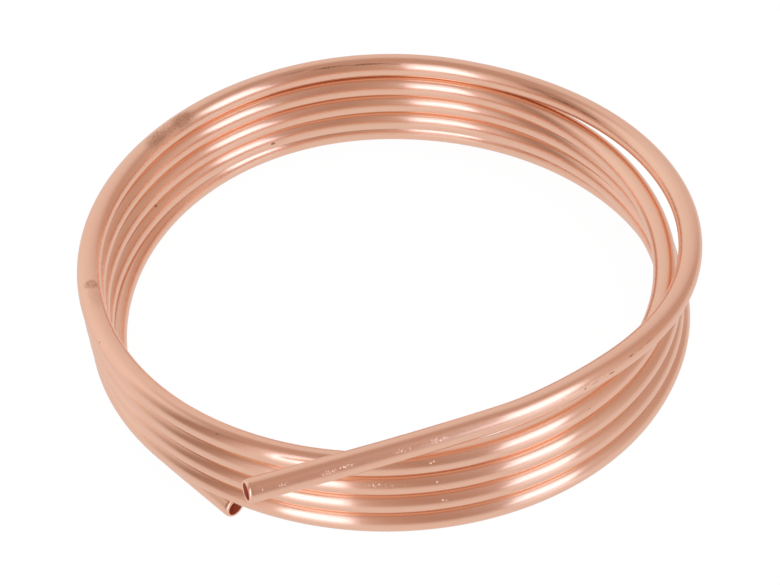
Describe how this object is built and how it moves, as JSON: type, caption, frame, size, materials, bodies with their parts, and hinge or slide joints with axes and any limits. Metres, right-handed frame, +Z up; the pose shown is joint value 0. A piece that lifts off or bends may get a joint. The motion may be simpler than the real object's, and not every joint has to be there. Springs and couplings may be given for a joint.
{
  "type": "copper tube coil",
  "caption": "Soft copper tube wound into an open round coil of five turns, with the last turn sprung out and its tail crossing the others, and two cut ends curled in at their mouths.",
  "frame": {"origin": "middle of the coil's footprint, in the plane that it lies on", "axes": "+Z up along the coil's axis, -Y to the side where both ends are"},
  "size_m": [0.2096, 0.2262, 0.053],
  "materials": {
    "copper": "bright drawn copper"
  },
  "bodies": {
    "root": {"tube_coil": "copper"}
  },
  "joints": []
}
